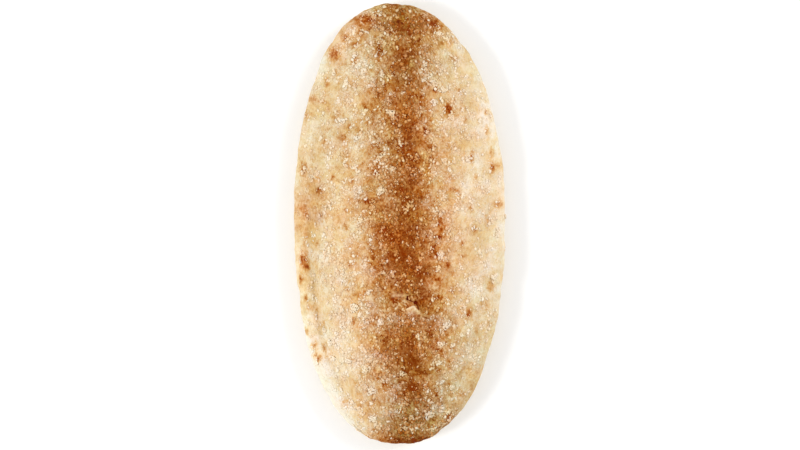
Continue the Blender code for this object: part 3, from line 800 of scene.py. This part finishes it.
# The largest clusters of flour that show, each as x, y, length, width and turn, in mm and radians.
FLOUR_CLUSTERS = (
    (-6.3, 93.2, 1.6, 1.2, 0.2), (17, 81.5, 3.6, 1.6, 2.9), (19.6, 79.8, 2.6, 1.2, 2.7),
    (-19, 71.8, 1.9, 1.4, 0.4), (11, 68, 2.4, 2, 1), (-17.8, 67.2, 2.4, 2, 2.6),
    (-15.2, 65.4, 2.6, 1.6, 0.1), (-12, 67, 1.5, 1.2, 1.4), (-28.2, 64.6, 2.8, 1.2, 1.5),
    (28.8, 63, 1.5, 1.4, 1.6), (13, 63, 1.6, 1.6, 0), (-7.5, 63.5, 3.2, 1.4, 1.6),
    (-22.9, 60.6, 4.4, 1.3, 1.4), (10.5, 61.3, 2, 1.6, 0.5), (14, 60.5, 1.6, 1.3, 2),
    (-13, 58.5, 2, 1.5, 0.3), (18.5, 57, 2.4, 2, 0.9), (33.6, 53, 1.5, 1.3, 1.2),
    (-26.2, 52.5, 2.4, 1.1, 1.4), (17.8, 52.5, 2.4, 1.1, 1.9), (14.5, 51.6, 3, 2.6, 0.4),
    (27, 48.8, 1.7, 1.3, 0.6), (-3.7, 47, 3.6, 2.2, 2.8), (-32.5, 47.2, 1.7, 1.2, 0.8),
    (34.2, 44.4, 2.4, 1.3, 1.6), (-24.2, 43.8, 3, 1.8, 0.2), (-33.6, 36.6, 2, 1.5, 0.9),
    (-18.2, 36.2, 2.6, 1.8, 0.4), (-7.9, 28.4, 3.2, 1.3, 0.8), (-22.8, 26.8, 2.8, 1.1, 0.8),
    (-19, 23.5, 2.6, 1.4, 2.7), (-3, 23.2, 2.2, 1.7, 0.2), (21, 23, 1.9, 1.6, 2.2),
    (37.6, 18, 1.5, 1.3, 0.5), (-16.8, 14, 2.8, 1.8, 1.6), (-7.8, 13.6, 3.2, 2.4, 0.7),
    (27, 12, 2.4, 1.6, 0.6), (3.8, 7, 3, 1.8, 1.4), (-16.6, 1.6, 2.8, 1.8, 1.5),
    (-12.2, -6.8, 1.4, 1.2, 0.3), (-31, -9, 1.6, 1.3, 0), (17.5, -13, 2.8, 2.2, 0.2),
    (-14.4, -17.6, 1.8, 1.2, 1.4), (8.2, -18.6, 2.4, 1.4, 0.4), (16.4, -19, 2.4, 2, 1.1),
    (-18.6, -21.2, 4, 1.5, 0.2), (-3, -20.6, 2.2, 1.3, 0.1), (29.6, -24, 2.4, 1.4, 1.5),
    (34.4, -27.6, 2.8, 2, 1.7), (-13, -29, 2.4, 1.5, 0.5), (-19.2, -35.8, 3.8, 3.2, 0.6),
    (-13.2, -37.8, 1.5, 1.4, 0), (-16.8, -38.8, 2, 1.5, 1.2), (-8, -42, 2.4, 2, 1),
    (20, -43.4, 3, 2.3, 0.4), (-24.8, -43.6, 2.4, 1.1, 1.7), (-26.8, -47.2, 2.1, 1.4, 2.5),
    (26.6, -47.6, 1.7, 1.3, 0.4), (-29.7, -51, 3.2, 2.4, 0.8), (17.6, -51.4, 2.4, 2, 0.2),
    (22.4, -52, 2.4, 1.4, 0.9), (-28.4, -57.8, 3, 2.2, 0.1), (-21.8, -59, 3, 1.6, 0.3),
    (16.5, -59.6, 2, 1.5, 0.9), (-14.4, -62, 3.4, 3, 0.5), (13.5, -61.8, 1.9, 1.1, 0.2),
    (-26.4, -62.8, 2.4, 1, 1.3), (1.2, -64, 2.4, 2, 0.8), (18, -67.6, 2.2, 1.2, 0.6),
    (-12, -71.6, 3.4, 2.8, 1), (-25, -71.2, 1.8, 0.9, 1.9), (1, -77.4, 2.6, 2, 0.3),
    (13, -82, 3.6, 3, 0.9), (-11.4, -83.6, 3.4, 2.4, 0.4), (5, -83, 2.6, 1.7, 1.5),
    (2.6, -87.6, 2.2, 1.5, 0.2), (14.4, -88, 2.4, 1.5, 0.6),
)
CLUSTER_FLATNESS = 0.45
CLUSTER_SHADES = (0.05, 0.40)


def grain_shape(subdivisions):
    bm = bmesh.new()
    bmesh.ops.create_icosphere(bm, subdivisions=subdivisions, radius=0.5)
    points = np.array([v.co for v in bm.verts])
    faces = np.array([[v.index for v in f.verts] for f in bm.faces])
    bm.free()
    return points, faces


def bareness(x, y):
    """Where no flour stuck: in the tear and on its lip, on the scorched spots and in the groove."""
    gap, lip, ridge, torn = tear_fields(x, y)
    slope = patch_over(x, y, SMOOTH_SLOPE)
    scorched = SPOT_BARENESS * smooth_step(*BARE_CHAR, spots_over(x, y, CHAR_SPOTS))
    sheltered = GROOVE_BARENESS * np.clip(furrow_over(x, y), 0, 1)
    rough = np.maximum(RIDGE_BARENESS * ridge, TORN_BARENESS * torn)
    return np.maximum.reduce([gap, lip, rough, slope, scorched, sheltered])


def dust_density(centres, normals, evenness):
    """How thickly the grains lie: in drifts where the evenness is 0, the same all over where it is 1."""
    x, y, z = centres.T
    up = at_least(STEEP_DUST, smooth_step(*DUSTED_FACING, normals[:, 2]))
    above_floor = np.where(z > LOWEST_DUST, 1.0, 0.0)
    drifted = THIN_DUST + DRIFT_DUST * flour_over(x, y) ** DRIFT_POWER
    thick = drifted + evenness * (EVEN_THICKNESS - drifted)
    return up * thick * above_floor * (1 - bareness(x, y)) * at_least(FLANK_DUST, dusting(x, y))


def skin_tree_of(mesh):
    return BVHTree.FromPolygons([v.co for v in mesh.vertices], [p.vertices for p in mesh.polygons])


def on_skin(skin_tree, points):
    """The nearest places on the crust, and its normals there."""
    found = [skin_tree.find_nearest(Vector(point))[:2] for point in points]
    return np.array([place for place, _ in found]), np.array([normal for _, normal in found])


def scatter(mesh, skin_tree, count, rng, evenness=0.0):
    """Places on the crust in small groups, thickest where the flour lies, with each one's group."""
    centres, normals = values_of(mesh.polygons, "center"), values_of(mesh.polygons, "normal")
    areas = values_of(mesh.polygons, "area", 1)[:, 0]
    weights = areas * dust_density(centres, normals, evenness)
    group_count = round(count / GROUP_SIZE)
    sites = centres[rng.choice(len(areas), size=group_count, p=weights / weights.sum())]
    group = rng.integers(0, group_count, count)
    places, normals = on_skin(skin_tree, sites[group] + rng.normal(0, GROUP_REACH, (count, 3)))
    kept = (bareness(places[:, 0], places[:, 1]) < BARE) & (normals[:, 2] > 0)
    return places[kept], normals[kept], group[kept]


def frames_on(normals, turn):
    """Three axes for each grain: two in the surface, turned about the normal, and the normal."""
    helper = np.where(np.abs(normals[:, 0:1]) < SIDEWAYS, [[1.0, 0.0, 0.0]], [[0.0, 1.0, 0.0]])
    first = np.cross(normals, helper)
    first /= np.linalg.norm(first, axis=1)[:, None]
    second = np.cross(normals, first)
    along = np.cos(turn)[:, None] * first + np.sin(turn)[:, None] * second
    return along, np.cross(normals, along), normals


def granules(places, normals, sizes, turn, sunk, shade, rng, subdivisions=1, foot_and_top=FOOT_AND_TOP):
    """Many uneven lumps: their points and triangles, and the numbers that say the colour of each point.

    Each lump has its own shade at the top and takes the crust's colour, a little browner, at its foot:
    partly painted light on its top and painted shade round its foot.
    """
    shape, faces = grain_shape(subdivisions)
    count = len(places)
    rough = rng.uniform(1 - ROUGHNESS, 1 + ROUGHNESS, (count, len(shape), 1))
    local = shape[None] * rough * sizes[:, None, :]
    turned = sum(local[..., k : k + 1] * axis[:, None] for k, axis in enumerate(frames_on(normals, turn)))
    centres = places + normals * (sizes[:, 2] * (0.5 - sunk))[:, None]
    points = (turned + centres[:, None]).reshape(-1, 3)
    triangles = (faces[None] + (np.arange(count) * len(shape))[:, None, None]).reshape(-1, 3)
    x, y = places[:, 0], places[:, 1]
    toast = toast_over(x, y)
    # The raised toast shows at the grain's foot: painted shade.
    fields = {"toast": toast + GRAIN_FOOT_SHADE * (1 - toast)}
    fields |= {"rosy": rosiness_over(x, y), "veil": veil_over(x, y, toast)}
    fields = {name: np.repeat(values, len(shape)) for name, values in fields.items()}
    shades = 1 - (1 - shade[:, None]) * smooth_step(*foot_and_top, shape[:, 2] + 0.5)
    return points, triangles, {**fields, "shade": shades.ravel()}


def granule_piece(name, *groups):
    """One piece made of one or more groups of granules."""
    points, triangles, fields = zip(*groups)
    offsets = np.cumsum([0, *map(len, points)])
    triangles = np.concatenate([part + offset for part, offset in zip(triangles, offsets)])
    mesh = bpy.data.meshes.new(name)
    mesh.from_pydata(np.concatenate(points).tolist(), [], triangles.tolist())
    mesh.shade_smooth()
    store_fields(mesh, {key: np.concatenate([part[key] for part in fields]) for key in fields[0]})
    return placed(name, mesh)


def flour(name, crust_mesh, skin_tree):
    """Loose grains of one grade, strewn over the crust."""
    count, (shortest, longest), paleness, evenness, seed = FLOUR_GRADES[name]
    rng = np.random.default_rng(seed)
    places, normals, group = scatter(crust_mesh, skin_tree, count, rng, evenness)
    count = len(places)
    length = shortest + (longest - shortest) * rng.uniform(0, 1, count) ** LENGTH_POWER
    width = length * rng.uniform(*GRAIN_WIDTHS, count)
    height = width * rng.uniform(*GRAIN_HEIGHTS, count)
    sizes = np.stack([length, width, height], 1)
    turn = rng.normal(0, TURN_SPREAD, count)
    pale = GROUP_SHADE_SHARE * rng.uniform(0, 1, group.max() + 1)[group]
    pale += (1 - GROUP_SHADE_SHARE) * rng.uniform(0, 1, count)
    shade = 1 - paleness * pale
    return granule_piece(name, granules(places, normals, sizes, turn, GRAIN_SUNK_SHARE, shade, rng))


def clump_places(rng):
    """Spots in plan for the solid's clumps of flour, thickest along the crest and well apart."""
    places = []
    while len(places) < CLUMP_COUNT:
        x = rng.gauss(0.0, CLUMP_SPREAD * WIDTH / 2)
        y = rng.uniform(-LENGTH / 2, LENGTH / 2)
        clear_of_rim = inset_of(x, y) > 2 * RIM_ROLL_WIDTH
        clear_of_tear = all(math.dist((x, y), p) > CLUMP_TEAR_GAP for p in TEAR_PATH)
        if clear_of_rim and clear_of_tear and all(math.dist((x, y), p) > CLUMP_GAP for p in places):
            places.append((x, y))
    return places


def solid_clumps():
    """Place, length, width, height and turn of each clump, drawn as for the solid."""
    rng = random.Random(SEED)
    clumps = []
    for x, y in clump_places(rng):
        length = rng.uniform(*CLUMP_LENGTHS)
        width = length * rng.uniform(*CLUMP_WIDTHS)
        height = width * rng.uniform(*CLUMP_FLATNESS)
        for _ in range(CLUMP_CORNERS):  # one draw for each corner of the solid's lump
            rng.uniform(*CLUMP_CORNER_SPREAD)
        clumps.append((x, y, length, width, height, rng.uniform(0, math.tau)))
    return clumps


def small_clumps(crust_mesh, skin_tree, rng):
    """The same for the lesser clumps that lie between them."""
    places = scatter(crust_mesh, skin_tree, SMALL_CLUMP_COUNT, rng)[0]
    clumps = []
    for x, y, _ in places:
        length = rng.uniform(*SMALL_CLUMP_LENGTHS)
        width, height = SMALL_CLUMP_WIDTH * length, SMALL_CLUMP_HEIGHT * length
        clumps.append((x, y, length, width, height, rng.uniform(0, math.tau)))
    return clumps


def flour_clusters():
    return [
        (x * MM, y * MM, length * MM, width * MM, CLUSTER_FLATNESS * width * MM, turn)
        for x, y, length, width, turn in FLOUR_CLUSTERS
    ]


def crumbs_on(clump, spot, skin_tree, shades, rng):
    """Grains stuck all over a clump and strewn at its foot, each as a row of numbers for granules."""
    x, y, length, width, height, turn = clump
    middle_reach, reach_change = CLUMP_REACH
    rows = []
    for _ in range(round(CRUMBS_PER_AREA * length * width)):
        angle = rng.uniform(0, math.tau)
        share = math.sqrt(rng.uniform(0, 1))
        reach = 0.5 * share * (middle_reach + reach_change * math.sin(3 * angle + 5 * turn))
        across, along = reach * length * math.cos(angle), reach * width * math.sin(angle)
        at_x = x + across * math.cos(turn) - along * math.sin(turn)
        at_y = y + across * math.sin(turn) + along * math.cos(turn)
        foot, up = skin_tree.find_nearest(Vector((at_x, at_y, spot.z)))[:2]
        lift = rng.uniform(*CRUMB_LIFTS) * (1 - CLUMP_SUNK_SHARE) * height * math.sqrt(1 - share**2)
        size = rng.uniform(*CRUMB_SIZES)
        sizes = (size, rng.uniform(*CRUMB_WIDTHS) * size, CRUMB_HEIGHT * size)
        rows.append((*(foot + up * lift), *up, *sizes, angle, rng.uniform(*shades)))
    return rows


def flour_clumps(crust_mesh, skin_tree):
    """Crumbly clumps: the solid's have a low lump under their crumbs, and the others are crumbs alone."""
    rng = np.random.default_rng(CLUMPS_SEED)
    groups = []
    solids = solid_clumps()
    for clumps, shades in (
        (solids, CLUMP_SHADES),
        (flour_clusters(), CLUSTER_SHADES),
        (small_clumps(crust_mesh, skin_tree, rng), CLUMP_SHADES),
    ):
        lumps, crumbs = [], []
        for clump in clumps:
            x, y, *sizes, turn = clump
            spot, normal = skin_tree.ray_cast(Vector((x, y, 2 * THICKNESS)), Vector((0, 0, -1)))[:2]
            shade = rng.uniform(*shades)
            if clumps is solids:
                lump_sizes = [share * size for share, size in zip(LUMP_SHARES, sizes)]
                lumps.append((*spot, *normal, *lump_sizes, turn, shade))
            crumbs += crumbs_on(clump, spot, skin_tree, shades, rng)
        for rows, sunk, cuts in ((lumps, CLUMP_SUNK_SHARE, 2), (crumbs, CRUMB_SUNK_SHARE, 1)):
            if not rows:
                continue
            r = np.array(rows)
            places, normals, sizes, turn, shade = r[:, :3], r[:, 3:6], r[:, 6:9], r[:, 9], r[:, 10]
            groups.append(
                granules(places, normals, sizes, turn, sunk, shade, rng, cuts, CLUMP_FOOT_AND_TOP)
            )
    return granule_piece("flour_clumps", *groups)


# --- Materials ---

ALBEDO_SCALE = 0.80
GRAIN_ALBEDO_SCALE = 0.87


def linear(rgb, scale=ALBEDO_SCALE):
    share = [c / 255 for c in rgb]
    values = [c / 12.92 if c <= 0.04045 else ((c + 0.055) / 1.055) ** 2.4 for c in share]
    return (*[v * scale for v in values], 1.0)


CRUST_RAMP = (
    (0.00, (255, 246, 222)),
    (0.08, (248, 225, 178)),
    (0.17, (239, 203, 145)),
    (0.32, (220, 164, 98)),
    (0.55, (193, 118, 48)),
    (0.80, (165, 82, 8)),
    (1.00, (134, 52, 0)),
)
FILM_RAMP = (
    (0.00, (255, 245, 226)),
    (0.25, (246, 221, 182)),
    (0.55, (224, 184, 124)),
    (0.95, (194, 140, 66)),
)
GRAIN_RAMP = (
    (0.00, (255, 248, 234)),
    (0.10, (250, 234, 208)),
    (0.20, (243, 217, 182)),
    (0.34, (226, 182, 132)),
    (0.55, (192, 120, 54)),
    (0.80, (160, 80, 16)),
    (1.00, (130, 52, 4)),
)
# What the colour is multiplied by where it is most olive or rosiest, and most golden or most greyed.
TINTS = {
    "rosy": ((0.85, 1.05, 1.09), (1.14, 0.955, 0.93)),
    "veil": ((1.03, 1.00, 0.66), (0.97, 1.00, 1.34)),
}
# Painted shade in the left groove: a warm tan laid into the crease where it lies in shade.
FURROW_SHADE_COLOUR = (232, 182, 108)
# Painted shade in the tear's holes and crack, in a deep red-brown.
GAP_SHADE_COLOUR = (124, 36, 6)
LIP_COLOUR = (240, 212, 178)
# Rusty and charred colours of a spot: the scorching over which each sets in, its greatest share, itself.
SCORCHED_COLOURS = ((0.35, 0.95, 0.65, (158, 58, 8)), (0.80, 1.35, 0.80, (98, 34, 8)))

NOISE_STRETCH = (1.0, 0.75, 1.0)
# The crust's noises, from wide to fine, each as a size, its detail and its roughness.
CRUST_NOISES = ((0.0026, 3.0, 0.6), (0.0011, 2.0, 0.6), (0.00060, 2.0, 0.7))
CRACKLE_SIZES = (0.0017, 0.0011)
CRUST_BUMP = 0.00025
CRUST_ROUGHNESS = (0.90, 0.80)  # where it is palest and where it is brownest
FLOUR_ROUGHNESS = 0.9
FLOUR_TINTED_SHARE = 0.6
SPECULAR_LEVEL = 0.03


class Shader:
    """A short way to build a node tree: most methods add a node and return its output."""

    def __init__(self, name):
        self.material = bpy.data.materials.new(name)
        self.material.use_nodes = True
        self.tree = self.material.node_tree
        self.surface = self.tree.nodes["Principled BSDF"]
        position = self.add("TexCoord", "Object", {})
        self.coordinates = self.add("Mapping", "Vector", {"Vector": position, "Scale": NOISE_STRETCH})

    def add(self, kind, output, inputs, **settings):
        """Adds a node with its inputs and settings."""
        node = self.tree.nodes.new("ShaderNode" + kind)
        for name, setting in settings.items():
            setattr(node, name, setting)
        for key, value in inputs.items():
            self.link(value, node.inputs[key])
        return node.outputs[output]

    def link(self, value, socket):
        if isinstance(value, (int, float, tuple)):
            socket.default_value = value
        else:
            self.tree.links.new(value, socket)

    def attribute(self, name):
        return self.add("Attribute", "Fac", {}, attribute_name=name)

    def noise(self, size, detail, roughness=0.5):
        form = {"Scale": 1 / size, "Detail": detail, "Roughness": roughness}
        return self.add("TexNoise", "Fac", {"Vector": self.coordinates, **form})

    def ridges(self, size):
        """A tangle of thin ridges, where the noise passes its middle value."""
        off_middle = self.math("ABSOLUTE", self.sum((self.noise(size, 1.0), 1.0), (1.0, -0.5)))
        return self.step(off_middle, 0.01, 0.10, 1.0, 0.0)

    def math(self, operation, *values, clamp=False):
        return self.add("Math", 0, dict(enumerate(values)), operation=operation, use_clamp=clamp)

    def sum(self, *terms):
        """Adds up pairs of a value and its weight."""
        total = 0.0
        for value, weight in terms:
            total = self.math("MULTIPLY_ADD", value, weight, total)
        return total

    def step(self, value, low, high, to_low=0.0, to_high=1.0):
        limits = {"From Min": low, "From Max": high, "To Min": to_low, "To Max": to_high}
        return self.add("MapRange", "Result", {"Value": value, **limits}, interpolation_type="SMOOTHSTEP")

    def ramp(self, value, stops, scale=ALBEDO_SCALE):
        node = self.tree.nodes.new("ShaderNodeValToRGB")
        elements = node.color_ramp.elements
        while len(elements) < len(stops):
            elements.new(0.5)
        for element, (position, colour) in zip(elements, stops):
            element.position = position
            element.color = linear(colour, scale)
        self.link(value, node.inputs["Fac"])
        return node.outputs["Color"]

    def mix(self, share, a, b, blend="MIX"):
        """Mixes two colours, which are inputs 6 and 7 of the node."""
        return self.add("Mix", 2, {"Factor": share, 6: a, 7: b}, data_type="RGBA", blend_type=blend)

    def tinted(self, colour):
        """Leans a colour to rosy or olive, and to greyed or golden, as the mesh says."""
        for name, (low_tint, high_tint) in TINTS.items():
            share = self.sum((self.attribute(name), 0.25), (1.0, 0.5))
            tint = self.mix(share, (*low_tint, 1.0), (*high_tint, 1.0))
            colour = self.mix(1.0, colour, tint, "MULTIPLY")
        return colour

    def bumped(self, height, distance):
        normal = self.add("Bump", "Normal", {"Height": height, "Distance": distance})
        self.link(normal, self.surface.inputs["Normal"])

    def finish(self, colour, roughness):
        self.link(colour, self.surface.inputs["Base Color"])
        self.link(roughness, self.surface.inputs["Roughness"])
        self.link(SPECULAR_LEVEL, self.surface.inputs["Specular IOR Level"])
        return self.material


def crust_material():
    s = Shader("baked_crust")
    toast, char, flour_depth = map(s.attribute, ("toast", "char", "flour"))
    grit, furrow, gap, lip, torn = map(s.attribute, ("grit", "furrow", "gap", "lip", "torn"))
    mottle, fine, grainy = (s.noise(*noise_form) for noise_form in CRUST_NOISES)
    ridges = s.math("MAXIMUM", *map(s.ridges, CRACKLE_SIZES))

    swing = s.step(toast, 0.10, 0.60, 0.20, 0.95)
    varied = s.sum((mottle, 0.60), (fine, 1.10), (grit, -0.40), (1.0, -0.65))
    scorch = s.math("MULTIPLY", char, s.step(fine, 0.30, 0.70, 0.60, 1.35))
    browned = s.sum((toast, 1.0), (s.math("MULTIPLY", varied, swing), 1.0), (scorch, 0.70))
    unbrowned = s.math("MAXIMUM", lip, s.math("MULTIPLY", torn, s.step(grit, 0.35, 0.65, 0.52, 0.80)))
    browned = s.math("MULTIPLY", browned, s.sum((unbrowned, -0.85), (1.0, 1.0)))
    colour = s.ramp(browned, CRUST_RAMP)
    colour = s.mix(s.math("MULTIPLY", lip, 0.60), colour, linear(LIP_COLOUR))
    # Painted shade: the groove is tinted warm tan where it lies in shade.
    colour = s.mix(s.math("MULTIPLY", furrow, 0.50, clamp=True), colour, linear(FURROW_SHADE_COLOUR))
    for low, high, share, scorched in SCORCHED_COLOURS:
        colour = s.mix(s.step(scorch, low, high, 0.0, share), colour, linear(scorched))

    grainy_film = s.sum((grainy, 0.90), (ridges, 0.20), (grit, 0.45), (flour_depth, 0.15), (scorch, -0.3))
    film = s.math("MULTIPLY", s.step(grainy_film, 0.50, 1.10), s.sum((1.0, 0.25), (flour_depth, 0.75)))
    colour = s.mix(film, colour, s.ramp(s.sum((browned, 1.0), (flour_depth, -0.10)), FILM_RAMP))

    colour = s.tinted(colour)
    # Painted shade: the tear's holes and crack turn dark red-brown.
    colour = s.mix(s.step(gap, 0.15, 0.75), colour, linear(GAP_SHADE_COLOUR))
    s.bumped(s.sum((grainy, 0.6), (ridges, 0.5)), CRUST_BUMP)
    return s.finish(colour, s.step(toast, 0.0, 1.0, *CRUST_ROUGHNESS))


def flour_material():
    s = Shader("flour")
    browned = s.math("MULTIPLY", s.attribute("toast"), s.sum((s.attribute("shade"), 0.80), (1.0, 0.20)))
    colour = s.ramp(browned, GRAIN_RAMP, GRAIN_ALBEDO_SCALE)
    return s.finish(s.mix(FLOUR_TINTED_SHARE, colour, s.tinted(colour)), FLOUR_ROUGHNESS)


# --- Stage ---

PHOTO_WIDTH_PX = 800
METRES_PER_PX = LENGTH / 440
CAMERA_HEIGHT = 1.10
CAMERA_SHIFT_PX = (0.5, -1.5)
SENSOR = 36.0
FLOOR_HALF_SIZE = 3.0
FLOOR_DROP = 0.0002
FLOOR_COLOUR = (0.93, 0.93, 0.93, 1.0)
FLOOR_ROUGHNESS = 0.9
SKY_COLOUR = (1.0, 1.0, 1.0, 1.0)
SKY_STRENGTH = 0.66
LIGHTS = (  # name, place, size and power
    ("key", (-0.95, -0.25, 0.80), 0.45, 9.5),
    ("fill", (0.90, 0.45, 0.80), 0.60, 8.5),
)


def camera():
    data = bpy.data.cameras.new("camera")
    data.sensor_width = SENSOR
    data.lens = SENSOR * (CAMERA_HEIGHT - RIM_HEIGHT) / (PHOTO_WIDTH_PX * METRES_PER_PX)
    obj = placed("camera", data)
    obj.location = (*(shift * METRES_PER_PX for shift in CAMERA_SHIFT_PX), CAMERA_HEIGHT)
    bpy.context.scene.camera = obj


def area_light(name, location, size, power):
    data = bpy.data.lights.new(name, "AREA")
    data.shape = "SQUARE"
    data.size = size
    data.energy = power
    obj = placed(name, data)
    obj.location = location
    obj.rotation_euler = (-Vector(location)).to_track_quat("-Z", "Y").to_euler()


def stage():
    bm = bmesh.new()
    bmesh.ops.create_grid(bm, x_segments=1, y_segments=1, size=FLOOR_HALF_SIZE)
    mesh = bpy.data.meshes.new("floor")
    bm.to_mesh(mesh)
    bm.free()
    floor = placed("floor", mesh)
    floor.location.z = -FLOOR_DROP
    mesh.materials.append(Shader("floor").finish(FLOOR_COLOUR, FLOOR_ROUGHNESS))

    world = bpy.data.worlds.new("studio")
    world.use_nodes = True
    background = world.node_tree.nodes["Background"]
    background.inputs["Color"].default_value = SKY_COLOUR
    background.inputs["Strength"].default_value = SKY_STRENGTH
    bpy.context.scene.world = world
    for light in LIGHTS:
        area_light(*light)
    bpy.context.scene.view_settings.view_transform = "Standard"


def main():
    stage()
    camera()
    skin = crust()
    skin.data.materials.append(crust_material())
    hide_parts(NODE)
    skin_tree = skin_tree_of(skin.data)
    dust = [flour(name, skin.data, skin_tree) for name in FLOUR_GRADES]
    dust.append(flour_clumps(skin.data, skin_tree))
    pale = flour_material()
    for piece in dust:
        piece.data.materials.append(pale)
    for piece in (skin, *dust):
        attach(piece, BODY)


main()
